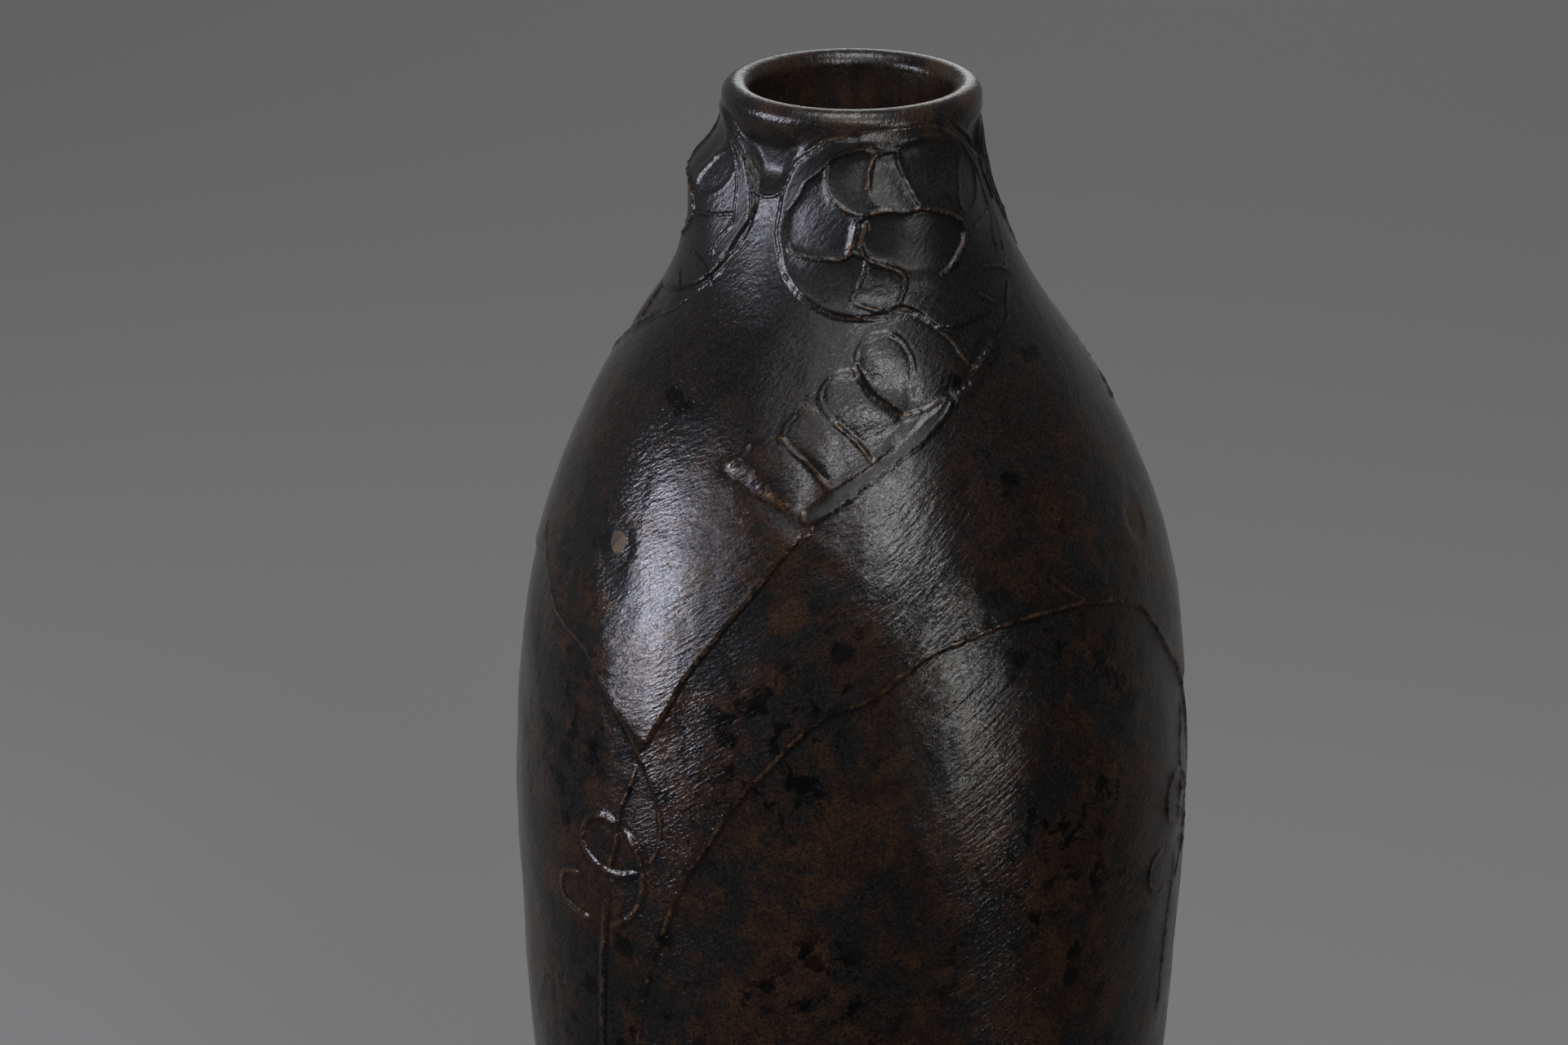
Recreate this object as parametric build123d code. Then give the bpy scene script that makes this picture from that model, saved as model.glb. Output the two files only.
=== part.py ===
from build123d import *
import math
import os

# A cast bronze vase: a tall egg-shaped body with a narrow neck and a full-round
# lip, low raised fern croziers and whiplash stems repeated three times round it,
# a soldered-in base plate and six plugs in the holes left by the core pins.
# Millimetres, +Z up, origin at the centre of the foot, front towards -Y.

os.makedirs("parts", exist_ok=True)

# Driving sizes of the body
body_height = 250.0
belly_radius = 55.0
belly_height = 135.7
foot_radius = 37.0
mouth_radius = 16.3
lip_tube_radius = 2.35
wall = 3.0

# Foot, base plate and solder
foot_rim_width = 4.0
foot_edge_fillet = 1.0
base_flange_width = 3.0
base_flange_thickness = 3.0
base_plate_thickness = 2.5
base_plate_recess = 1.0
base_plate_clearance = 0.05
solder_leg = 0.8
solder_clearance = 0.02

# Core pin plugs
plug_radius = 1.8
plug_clearance = 0.03
upper_plug_height_share = 0.727
lower_plug_height_share = 0.256
upper_plug_azimuth = -50.0
lower_plug_azimuth = 10.0
plug_reach = 8.0

# Raised ornament
crozier_radius = 16.5
crozier_band_width = 4.2
crozier_eye_radius = 6.0
crozier_drop = 18.5
crozier_relief = 2.2
stem_width = 4.6
whiplash_width = 2.6
knot_radius = 6.4
knot_band_width = 2.2
knot_height_share = 0.532
stem_relief = 1.2
relief_root = 1.0

# Round the axis
repeat_count = 3
crozier_azimuth = 16.0
stem_azimuth = -6.0
whiplash_azimuth = -12.0
whiplash_far_azimuth = 50.0
knot_azimuth = -44.0
lip_contact_angle = 12.0
repeat_angle = 360.0 / repeat_count

# Shares of the way up from the foot to the belly, and of the way out from the
# foot's radius to the belly's
lower_outline_shares = [
    (0.0, 0.0),
    (0.06, 0.11),
    (0.35, 0.53),
    (0.65, 0.83),
    (0.76, 0.907),
    (0.88, 0.971),
]

# Shares of the way up from the belly to the lip, and of the way in from the
# belly's radius to the neck's
upper_outline_shares = [
    (0.0, 0.0),
    (0.07, 0.007),
    (0.215, 0.047),
    (0.357, 0.137),
    (0.465, 0.253),
    (0.572, 0.413),
    (0.643, 0.555),
    (0.715, 0.721),
    (0.786, 0.849),
    (0.858, 0.944),
    (0.93, 0.993),
    (1.0, 1.0),
]

# Centre lines of the raised stems on a plane that faces them: shares of the
# belly's radius sideways and of the body's height upwards
stem_line_shares = [
    (-0.52, 0.600),
    (-0.42, 0.645),
    (-0.27, 0.690),
    (-0.13, 0.732),
    (-0.04, 0.762),
    (0.13, 0.783),
    (0.24, 0.797),
    (0.37, 0.828),
    (0.46, 0.862),
]
whiplash_line_shares = [
    (-0.47, 0.397),
    (-0.41, 0.460),
    (-0.30, 0.516),
    (-0.16, 0.570),
    (0.05, 0.624),
    (0.25, 0.649),
    (0.45, 0.679),
]
whiplash_far_line_shares = [
    (-0.55, 0.676),
    (-0.36, 0.690),
    (-0.07, 0.694),
    (0.19, 0.678),
    (0.46, 0.640),
    (0.53, 0.597),
]


# The body's outline

lip_centre_height = body_height - lip_tube_radius
lip_ring_radius = mouth_radius + lip_tube_radius
contact = math.radians(lip_contact_angle)
neck_radius = lip_ring_radius + lip_tube_radius * math.cos(contact)
neck_top_height = lip_centre_height - lip_tube_radius * math.sin(contact)
crozier_height = body_height - crozier_drop
knot_height = knot_height_share * body_height


def outline_points(foot_r, belly_r, neck_r, top_height):
    points = []
    for up_share, out_share in lower_outline_shares:
        radius = foot_r + out_share * (belly_r - foot_r)
        points.append((radius, up_share * belly_height))
    for up_share, in_share in upper_outline_shares:
        radius = belly_r - in_share * (belly_r - neck_r)
        points.append((radius, belly_height + up_share * (top_height - belly_height)))
    return points


def turned(lines):
    edges = [edge for line in lines for edge in line.edges()]
    return revolve(Plane.XZ * make_face(edges), Axis.Z)


def upright_cylinder(radius, height):
    return Cylinder(radius, height, align=(Align.CENTER, Align.CENTER, Align.MIN))


def ring_section(corners):
    return turned([Polyline(*corners, close=True)])


outer_points = outline_points(foot_radius, belly_radius, neck_radius, neck_top_height)
inner_points = outline_points(
    foot_radius - wall, belly_radius - wall, mouth_radius, lip_centre_height
)


# Foot: a rim round a rebate that takes the base plate, with a flange above it

rebate_radius = foot_radius - foot_rim_width
flange_radius = rebate_radius - base_flange_width
rebate_depth = base_plate_recess + base_plate_thickness
floor_height = rebate_depth + base_flange_thickness


def solid_blank():
    """The whole outside of the body, filled."""
    side = Spline(*outer_points)
    lip_top = (lip_ring_radius, body_height)
    lip_inside = (mouth_radius, lip_centre_height)
    lip = ThreePointArc(side @ 1, lip_top, lip_inside)
    closing = Polyline(lip @ 1, (0, lip_centre_height), (0, 0), side @ 0)
    return turned([side, lip, closing])


def hollow_blank():
    """The space inside, from the floor up to the throat."""
    side = Spline(*inner_points)
    top = side @ 1
    bottom = side @ 0
    closing = Polyline(top, (0, top.Y), (0, bottom.Y), bottom)
    space = turned([side, closing])
    return space - upright_cylinder(belly_radius, floor_height)


def foot_cuts():
    """The rebate for the base plate and the core opening above it."""
    rebate = upright_cylinder(rebate_radius, rebate_depth)
    opening = upright_cylinder(flange_radius, floor_height)
    return rebate + opening


# Raised ornament: flat outlines pushed outwards and kept in a thin layer that
# follows the body

def relief_layer(relief):
    outside = [(radius + relief, height) for radius, height in outer_points]
    inside = [(radius - relief_root, height) for radius, height in outer_points]
    outer_side = Spline(*outside)
    inner_side = Spline(*inside)
    top = Line(outer_side @ 1, inner_side @ 1)
    bottom = Line(inner_side @ 0, outer_side @ 0)
    return turned([outer_side, top, inner_side, bottom])


def facing_plane(azimuth):
    """A vertical plane through the axis that faces outwards at the azimuth."""
    turn = math.radians(azimuth)
    outwards = (math.sin(turn), -math.cos(turn), 0)
    across = (math.cos(turn), math.sin(turn), 0)
    return Plane(origin=(0, 0, 0), x_dir=across, z_dir=outwards)


def pushed_out(face, azimuth):
    return extrude(facing_plane(azimuth) * face, amount=2 * belly_radius)


def band_face(line_shares, width):
    """A strip that follows a centre line and narrows to half its width at the end."""
    centre = [
        (across_share * belly_radius, up_share * body_height)
        for across_share, up_share in line_shares
    ]
    path = Spline(*centre)
    left = []
    right = []
    last = len(centre) - 1
    for number in range(len(centre)):
        along = number / last
        point = path @ along
        heading = path % along
        half = width * (1 - along / 2) / 2
        left.append((point.X - heading.Y * half, point.Y + heading.X * half))
        right.append((point.X + heading.Y * half, point.Y - heading.X * half))
    left_edge = Spline(*left)
    right_edge = Spline(*right)
    start = Line(left_edge @ 0, right_edge @ 0)
    end = Line(left_edge @ 1, right_edge @ 1)
    return make_face([left_edge, end, right_edge, start])


def ring_face(radius, band_width, height):
    ring = Circle(radius) - Circle(radius - band_width)
    return Pos(0, height) * ring


def crozier():
    ring = ring_face(crozier_radius, crozier_band_width, crozier_height)
    eye = Pos(0, crozier_height) * Circle(crozier_eye_radius)
    raised = pushed_out(ring, crozier_azimuth) + pushed_out(eye, crozier_azimuth)
    return raised & relief_layer(crozier_relief)


def stems():
    stem = pushed_out(band_face(stem_line_shares, stem_width), stem_azimuth)
    near = pushed_out(band_face(whiplash_line_shares, whiplash_width), whiplash_azimuth)
    far = pushed_out(band_face(whiplash_far_line_shares, whiplash_width), whiplash_far_azimuth)
    knot = pushed_out(ring_face(knot_radius, knot_band_width, knot_height), knot_azimuth)
    layer = relief_layer(stem_relief)
    return [(band & layer) for band in (stem, near, far, knot)]


# Core pin plugs

def plug_places():
    rows = [
        (upper_plug_height_share * body_height, upper_plug_azimuth),
        (lower_plug_height_share * body_height, lower_plug_azimuth),
    ]
    places = []
    for height, first in rows:
        for number in range(repeat_count):
            places.append((height, first + number * repeat_angle))
    return places


def wall_at(height):
    """The outside radius at a height, and how far the wall leans inwards there."""
    for (low_radius, low_height), (high_radius, high_height) in zip(outer_points, outer_points[1:]):
        if low_height <= height <= high_height:
            rise = high_height - low_height
            share = (height - low_height) / rise
            lean = math.degrees(math.atan2(low_radius - high_radius, rise))
            return low_radius + share * (high_radius - low_radius), lean


def plug_rod(height, azimuth, radius):
    """A rod square to the wall, from the hollow to the outside."""
    wall_radius, lean = wall_at(height)
    rod = Pos(0, 0, -plug_reach) * upright_cylinder(radius, 2 * plug_reach)
    on_wall = Pos(0, height, wall_radius) * Rot(-lean, 0, 0)
    return facing_plane(azimuth) * on_wall * rod


# The vessel body

blank = solid_blank()
hollow = hollow_blank()
foot_edges = blank.edges().group_by(Axis.Z)[0]
blank = fillet(foot_edges, foot_edge_fillet)
throat = Pos(0, 0, floor_height) * upright_cylinder(mouth_radius, body_height)
plain_shell = blank - hollow - foot_cuts() - throat

shell = plain_shell
for height, azimuth in plug_places():
    shell = shell - plug_rod(height, azimuth, plug_radius + plug_clearance)
ornament = [crozier()] + stems()
for number in range(repeat_count):
    for piece in ornament:
        shell = shell + Rot(0, 0, number * repeat_angle) * piece

export_step(shell, "parts/vessel_body.step")

# The plugs follow the wall inside and out

for number, (height, azimuth) in enumerate(plug_places(), start=1):
    plug = plain_shell & plug_rod(height, azimuth, plug_radius)
    export_step(plug, f"parts/core_plug_{number}.step")

# The base plate

plate_radius = rebate_radius - base_plate_clearance
plate_bottom = base_plate_recess
plate_top = rebate_depth
base_plate = ring_section([
    (0, plate_bottom),
    (plate_radius - solder_leg, plate_bottom),
    (plate_radius, plate_bottom + solder_leg),
    (plate_radius, plate_top),
    (0, plate_top),
])
export_step(base_plate, "parts/base_plate.step")

# The solder in the groove round the plate's lower edge

solder_radius = rebate_radius - solder_clearance
solder = ring_section([
    (solder_radius, plate_bottom),
    (solder_radius, plate_bottom + solder_leg - solder_clearance),
    (solder_radius - solder_leg + solder_clearance, plate_bottom),
])
export_step(solder, "parts/base_solder_seam.step")

print("neck radius", round(neck_radius, 2), "wall at the foot rim", foot_rim_width)
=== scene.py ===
import math

import bpy
import numpy as np
from mathutils import Matrix, Vector


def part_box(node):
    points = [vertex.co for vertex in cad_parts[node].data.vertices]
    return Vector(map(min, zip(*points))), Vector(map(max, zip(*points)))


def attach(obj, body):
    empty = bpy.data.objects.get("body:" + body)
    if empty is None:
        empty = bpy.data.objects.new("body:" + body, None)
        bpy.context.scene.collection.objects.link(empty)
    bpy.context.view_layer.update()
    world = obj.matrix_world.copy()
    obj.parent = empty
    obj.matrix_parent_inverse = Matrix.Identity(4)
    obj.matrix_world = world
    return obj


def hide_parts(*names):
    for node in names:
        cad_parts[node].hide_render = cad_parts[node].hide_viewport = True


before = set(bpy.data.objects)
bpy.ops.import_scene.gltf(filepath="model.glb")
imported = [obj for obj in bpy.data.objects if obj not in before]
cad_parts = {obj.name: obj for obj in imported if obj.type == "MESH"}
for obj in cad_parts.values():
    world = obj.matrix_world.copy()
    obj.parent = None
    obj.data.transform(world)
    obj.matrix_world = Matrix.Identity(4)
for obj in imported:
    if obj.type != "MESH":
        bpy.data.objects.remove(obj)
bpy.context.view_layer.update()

# A cast bronze vase with a dark patina. The body is sculpted here as one closed
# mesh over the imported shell: the outline turned round the axis, and the relief of
# fern croziers, stems and knots laid on it as a height in millimetres.

MM = 0.001

# Body sizes, in millimetres
BODY_LOW, BODY_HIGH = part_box("vessel_body")
BODY_HEIGHT = (BODY_HIGH.z - BODY_LOW.z) / MM
BELLY_RADIUS = 55.0
BELLY_HEIGHT = 135.7
FOOT_RADIUS = 37.0
MOUTH_RADIUS = 16.3
LIP_TUBE_RADIUS = 2.35
LIP_CONTACT_ANGLE = math.radians(12.0)
WALL = 3.0
FOOT_RIM_WIDTH = 4.0
FOOT_EDGE_RADIUS = 1.0
FLANGE_WIDTH = 3.0
FLANGE_THICKNESS = 3.0
REBATE_DEPTH = 3.5
UNIT_TURN = 120.0

LOWER_OUTLINE_SHARES = [
    (0.0, 0.0), (0.06, 0.11), (0.35, 0.53), (0.65, 0.83), (0.76, 0.907), (0.88, 0.971),
]
UPPER_OUTLINE_SHARES = [
    (0.0, 0.0), (0.07, 0.007), (0.215, 0.047), (0.357, 0.137), (0.465, 0.253), (0.572, 0.413),
    (0.643, 0.555), (0.715, 0.721), (0.786, 0.849), (0.858, 0.944), (0.93, 0.993), (1.0, 1.0),
]

# The photograph's camera
FRAME_WIDTH = 1920
FRAME_HEIGHT = 1280
SENSOR_WIDTH = 36.0
LENS = 236.87
CAMERA_BACK = 1600.0
CAMERA_ABOVE_LIP = 437.71
CAMERA_PITCH = math.radians(17.6846)
CAMERA_YAW = math.radians(-0.38992)
CLIP_NEAR = 0.05
CLIP_FAR = 30.0
RAY_REACH = 3 * BELLY_RADIUS
RAY_STEPS = 1400

# Grid of the sculpted wall
COLUMNS = 960
HEAD_STEP = 0.22
FINE_STEP = 0.32
COARSE_STEP = 1.3
RELIEF_FROM_HEIGHT = 92.0
STEP_BLEND = 20.0
HEAD_FROM_HEIGHT = 212.0
OUTLINE_POINTS = 3000
LINE_SPACING = 0.25
LINE_LEAST_POINTS = 4


# Outline

def smooth_line(points, count):
    """A natural cubic through the points, as evenly many points as asked."""
    points = np.array(points, float)
    gaps = np.hypot(*np.diff(points, axis=0).T)
    knots = np.concatenate([[0.0], np.cumsum(gaps)])
    size = len(points)
    system = np.eye(size)
    right = np.zeros((size, 2))
    for i in range(1, size - 1):
        before = gaps[i - 1]
        after = gaps[i]
        system[i, i - 1:i + 2] = (before, 2 * (before + after), after)
        right[i] = 6 * ((points[i + 1] - points[i]) / after - (points[i] - points[i - 1]) / before)
    bend = np.linalg.solve(system, right)
    at = np.linspace(0.0, knots[-1], count)
    i = np.clip(np.searchsorted(knots, at, side="right") - 1, 0, size - 2)
    h = gaps[i][:, None]
    a = (knots[i + 1] - at)[:, None] / h
    b = 1.0 - a
    curved = ((a ** 3 - a) * bend[i] + (b ** 3 - b) * bend[i + 1]) * h ** 2 / 6
    return a * points[i] + b * points[i + 1] + curved


def outline_points(foot_r, belly_r, neck_r, top_height):
    points = []
    for up_share, out_share in LOWER_OUTLINE_SHARES:
        points.append((foot_r + out_share * (belly_r - foot_r), up_share * BELLY_HEIGHT))
    for up_share, in_share in UPPER_OUTLINE_SHARES:
        radius = belly_r - in_share * (belly_r - neck_r)
        points.append((radius, BELLY_HEIGHT + up_share * (top_height - BELLY_HEIGHT)))
    return points


LIP_CENTRE = BODY_HEIGHT - LIP_TUBE_RADIUS
LIP_RING_RADIUS = MOUTH_RADIUS + LIP_TUBE_RADIUS
NECK_RADIUS = LIP_RING_RADIUS + LIP_TUBE_RADIUS * math.cos(LIP_CONTACT_ANGLE)
NECK_TOP = LIP_CENTRE - LIP_TUBE_RADIUS * math.sin(LIP_CONTACT_ANGLE)
OUTLINE = smooth_line(
    outline_points(FOOT_RADIUS, BELLY_RADIUS, NECK_RADIUS, NECK_TOP), OUTLINE_POINTS
)
OUTLINE_RUN = np.concatenate([[0.0], np.cumsum(np.hypot(*np.diff(OUTLINE, axis=0).T))])


def radius_at(height):
    return np.interp(height, OUTLINE[:, 1], OUTLINE[:, 0])


def run_at(height):
    """How far up along the wall a height is."""
    return np.interp(height, OUTLINE[:, 1], OUTLINE_RUN)


# From a pixel of the photograph to a place on the wall

CAMERA_PLACE = np.array([0.0, -CAMERA_BACK, LIP_CENTRE + CAMERA_ABOVE_LIP])
FORWARD = np.array([
    math.sin(CAMERA_YAW) * math.cos(CAMERA_PITCH),
    math.cos(CAMERA_YAW) * math.cos(CAMERA_PITCH),
    -math.sin(CAMERA_PITCH),
])
RIGHTWARD = np.array([math.cos(CAMERA_YAW), -math.sin(CAMERA_YAW), 0.0])
UPWARD = np.cross(RIGHTWARD, FORWARD)
FOCAL_PIXELS = LENS / SENSOR_WIDTH * FRAME_WIDTH


def on_wall(pixel, turn=0.0):
    """(azimuth in degrees, run up the wall in mm) of a pixel, turned round the axis."""
    across = (pixel[0] - FRAME_WIDTH / 2) / FOCAL_PIXELS
    down = (pixel[1] - FRAME_HEIGHT / 2) / FOCAL_PIXELS
    ray = FORWARD + RIGHTWARD * across - UPWARD * down
    ray /= np.linalg.norm(ray)
    steps = np.linspace(CAMERA_BACK - RAY_REACH, CAMERA_BACK + RAY_REACH, RAY_STEPS)
    path = CAMERA_PLACE + steps[:, None] * ray
    outside = np.hypot(path[:, 0], path[:, 1]) - radius_at(path[:, 2])
    hit = int(np.argmax(outside <= 0.0)) if (outside <= 0.0).any() else int(np.argmin(outside))
    place = path[hit]
    azimuth = math.degrees(math.atan2(place[0], -place[1]))
    return azimuth + turn, float(run_at(place[2]))


# The grid: rows up the wall, columns round it

def row_heights():
    """Rows close together where there is relief and closest at the heads."""
    rise_per_run = np.diff(OUTLINE[:, 1]) / np.diff(OUTLINE_RUN)
    heights = [0.0]
    while heights[-1] < NECK_TOP:
        share = np.clip((heights[-1] - RELIEF_FROM_HEIGHT + STEP_BLEND) / STEP_BLEND, 0.0, 1.0)
        step = COARSE_STEP + (FINE_STEP - COARSE_STEP) * share
        if heights[-1] > HEAD_FROM_HEIGHT:
            step = HEAD_STEP
        heights.append(heights[-1] + step * np.interp(heights[-1], OUTLINE[1:, 1], rise_per_run))
    heights[-1] = NECK_TOP
    return np.array(heights)


ROW_Z = row_heights()
ROW_R = radius_at(ROW_Z)
ROW_RUN = run_at(ROW_Z)
ROWS = len(ROW_Z)
COLUMN_STEP = 360.0 / COLUMNS
COLUMN_AZ = np.arange(COLUMNS) * COLUMN_STEP


def azimuth_off(azimuth):
    """How far round from an azimuth each column is, from -180 to 180 degrees."""
    return (COLUMN_AZ - azimuth + 180.0) % 360.0 - 180.0


def across_from(azimuth):
    """How far round the wall from an azimuth each grid point is, in mm."""
    return np.radians(azimuth_off(azimuth))[None, :] * ROW_R[:, None]


def through(points):
    """A smooth dense line on the wall through given places."""
    places = np.array(points, float)
    length_scale = math.radians(1.0) * np.interp(places[:, 1].mean(), ROW_RUN, ROW_R)
    flat = places * (length_scale, 1.0)
    total = np.hypot(*np.diff(flat, axis=0).T).sum()
    count = max(LINE_LEAST_POINTS, int(total / LINE_SPACING))
    return smooth_line(flat, count) / (length_scale, 1.0)


def near(line, reach):
    """Distance in mm from the grid to a line, the side (+1 on its left), the share along."""
    distance = np.full((ROWS, COLUMNS), reach, np.float32)
    side = np.ones((ROWS, COLUMNS), np.float32)
    along = np.zeros((ROWS, COLUMNS), np.float32)
    heading = np.gradient(line, axis=0)
    for k, (azimuth, run) in enumerate(line):
        low, high = np.searchsorted(ROW_RUN, (run - reach, run + reach))
        if high <= low:
            continue
        rows_r = ROW_R[low:high, None]
        mid_r = float(np.interp(run, ROW_RUN, ROW_R))
        half = math.degrees(reach / max(float(rows_r.min()), 1.0))
        first = int((azimuth - half) / COLUMN_STEP) - 1
        columns = np.arange(first, int((azimuth + half) / COLUMN_STEP) + 2)
        across = np.radians(columns * COLUMN_STEP - azimuth)[None, :] * rows_r
        up = (ROW_RUN[low:high] - run)[:, None]
        gap = np.hypot(across, up)
        wrapped = columns % COLUMNS
        held = distance[low:high, wrapped]
        closer = gap < held
        distance[low:high, wrapped] = np.where(closer, gap, held)
        turn = math.radians(heading[k, 0]) * mid_r * up - heading[k, 1] * across
        side[low:high, wrapped] = np.where(closer, np.sign(turn), side[low:high, wrapped])
        along[low:high, wrapped] = np.where(closer, k / len(line), along[low:high, wrapped])
    return distance, side, along


def smoothstep(value, low, high):
    share = np.clip((value - low) / (high - low), 0.0, 1.0)
    return share * share * (3.0 - 2.0 * share)


# Lines of the ornament: places in the photograph's frame, each written as
# across,down in pixels. Those in RIGHT_... are read on the crozier at the left, which
# faces the camera more, and turned.

HEAD_OUTER = (
    "1047,168 1016,172 994,186 977,197 966,217 959,235 955,259 951,279 953,303 957,324 969,350 988,370 "
    "1011,384 1033,391 1058,392 1084,391"
)
HEAD_BAND_INNER = "1056,182 1033,188 1016,198 1001,213 991,220 981,237 967,257"
HEAD_TOP = "1047,168 1062,160 1090,156 1120,153 1148,153"
CELL_ONE_LEFT = "1014,199 1012,214 1015,234 1024,246 1034,255 1046,262 1057,264"
CELL_ONE_TOP = "1014,199 1024,191 1040,187 1053,184"
CELL_DIVIDER_ONE = "1056,182 1069,189 1064,203 1062,214 1061,228"
CELL_DIVIDER_TWO = "1098,184 1097,196 1100,208 1104,223 1109,240 1114,252"
CELL_TWO_TOP = "1072,192 1084,185 1098,184"
EYE_TOP = (
    "1048,272 1058,264 1081,257 1098,258 1113,254 1130,258 1148,265 1160,275 1168,289 1166,305 1160,321 "
    "1155,332 1148,338"
)
EYE_LEFT = (
    "1056,268 1057,284 1053,300 1057,316 1070,325 1088,331 1101,338 1105,349 1103,362 1098,373 1089,380 "
    "1074,381 1060,378 1048,374"
)
HUB_LEFT = "1047,268 1046,283 1043,298 1039,312"
LEFT_CELL_FOOT = "966,296 969,308 982,314 1000,318 1018,319 1035,318 1044,312 1053,316 1059,319"
LOW_DIVIDER = "1059,319 1058,334 1053,348 1047,360 1042,367"
OVAL_CELL = "1175,183 1186,198 1186,226 1178,253 1168,261 1158,253 1158,232 1165,201 1175,183"
HEAD_CREASE_ONE = "1196,330 1212,328 1224,331 1233,338"
HEAD_CREASE_TWO = "1192,362 1201,366 1210,371"

RIGHT_OUTER = (
    "893,135 901,156 907,168 912,185 917,202 920,218 922,234 923,254 920,275 913,289 903,303 891,314 "
    "888,319"
)
RIGHT_INNER = "896,165 903,190 907,213 906,242 903,260 901,275 891,287 882,301 877,313"
RIGHT_STEM = "888,319 887,325 878,336 862,350 842,365 829,377 811,385 791,397 772,406"
RIGHT_CROSS = "903,262 884,265 866,264"
POCKET = "922,230 929,237 940,241 951,238 959,232"

STEM_OUTER = (
    "1166,489 1161,502 1148,520 1130,540 1112,555 1098,565 1081,578 1053,602 1022,624 1002,636 992,640"
)
STEM_INNER = "1152,500 1134,515 1114,535 1098,550 1080,562 1061,577 1038,592 1014,608 998,618 984,628"
STEM_TIP = "984,628 982,635 988,641 995,640"
STEM_RISE = "1166,489 1178,481 1190,464 1200,444 1209,421"
STEM_SPUR = "990,642 992,650 987,657"

LEAF_ONE_EDGE = "1098,378 1112,381 1124,387 1138,397 1150,406 1160,416 1168,425 1176,438 1184,448"
LEAF_ONE_FOOT = "1105,508 1118,506 1131,502 1144,494 1154,488 1165,489"
LEAF_TWO_ARC = "1048,446 1050,430 1057,419 1068,411 1080,408 1095,412 1108,424 1116,440 1119,455"
LEAF_DIVIDER_ONE = "1048,448 1055,463 1065,479 1080,492 1095,502 1106,509"
LEAF_THREE_ARC = "983,489 994,484 1004,480 1009,472 1016,463 1027,456 1038,454 1048,457"
LEAF_THREE_SIDE = "1004,480 1004,490 1008,500 1018,513"
LEAF_DIVIDER_TWO = "1020,516 1035,529 1047,538 1057,549 1065,560 1070,565"
LEAF_FOUR_SIDE = "974,509 964,518 960,530 955,537"
LEAF_DIVIDER_THREE = "953,536 961,541 970,552 984,563 997,575 1005,586 1014,597"
LEAF_FIVE_TIP = "890,573 901,563 912,556 916,547"
LEAF_FIVE_FOOT = "893,571 907,576 925,590 945,607 965,621 982,633"

STEM_LOW = "778,926 791,914 806,892 825,860 838,836 862,804 890,768 924,728 949,696 972,668 986,650"
WHIPLASH = (
    "778,1280 782,1248 787,1219 798,1179 811,1144 825,1109 840,1078 870,1031 890,1000 915,969 943,940 "
    "977,905 1016,877 1061,860 1101,832 1129,810 1151,798 1199,778 1229,766 1283,749 1321,739 1359,736 "
    "1390,741"
)
WHIPLASH_END = (
    "652,690 680,740 720,800 755,868 766,886 785,927 798,956 805,982 808,1010 805,1037 799,1052 790,1061"
)
WHIPLASH_SPUR = "1286,707 1302,722 1324,735"
KNOT_STEM = "779,940 774,958 762,984 758,1008 755,1031 749,1050 746,1066"
KNOT_LOOP = "757,1012 745,1002 732,998 720,1004 714,1021 718,1038 729,1055 745,1067 760,1072 779,1071"
KNOT_HOOK = "765,1018 776,1034 784,1054 787,1074 785,1096 777,1116 764,1128 748,1135"
KNOT_CRESCENT = "711,1070 699,1065 689,1074 691,1092 703,1111 722,1124"
KNOT_DOWN = "743,1096 741,1117 739,1144 737,1181 736,1235 736,1280"

# Outlines of the leaflets and cells, closed
HEAD_FORM = HEAD_OUTER.removesuffix(" 1084,391") + " " + (
    "1098,378 1125,387 1150,404 1180,400 1210,380 1228,350 1226,310 1216,270 1209,230 1200,200 1185,176 "
    "1165,160 1148,153 1110,154 1070,158 1047,168"
)
CELL_FORMS = {
    "one": (
        "1014,199 1024,191 1040,187 1055,184 1067,190 1062,208 1060,228 1066,246 1078,256 1057,264 "
        "1045,262 1033,254 1023,245 1015,234 1012,214"
    ),
    "two": (
        "1067,190 1084,185 1098,184 1097,196 1100,208 1104,223 1109,240 1113,252 1098,258 1079,257 "
        "1066,246 1060,228 1062,208"
    ),
    "three": (
        "1100,182 1118,172 1140,168 1158,171 1166,183 1160,201 1155,225 1153,248 1155,264 1140,261 "
        "1125,256 1113,252 1109,240 1104,223 1100,208 1097,196"
    ),
    "oval": OVAL_CELL,
    "eye": (
        "1058,266 1072,261 1092,260 1113,256 1130,260 1146,266 1158,276 1167,291 1165,305 1159,320 "
        "1148,338 1128,341 1106,341 1088,331 1070,325 1058,316 1053,300 1057,284"
    ),
    "left": (
        "1003,214 1012,214 1015,234 1023,246 1033,255 1045,263 1046,281 1043,296 1039,311 1020,318 "
        "1000,317 982,313 968,306 962,290 963,270 968,257 979,244 984,234 991,221"
    ),
    "low_left": (
        "958,312 969,310 982,316 1000,320 1020,321 1044,315 1058,321 1057,335 1052,350 1042,367 1025,380 "
        "1010,383 990,371 970,350 960,332"
    ),
    "low_small": (
        "1062,322 1088,332 1104,346 1103,360 1092,378 1068,380 1050,374 1043,367 1053,350 1058,335"
    ),
}
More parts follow.
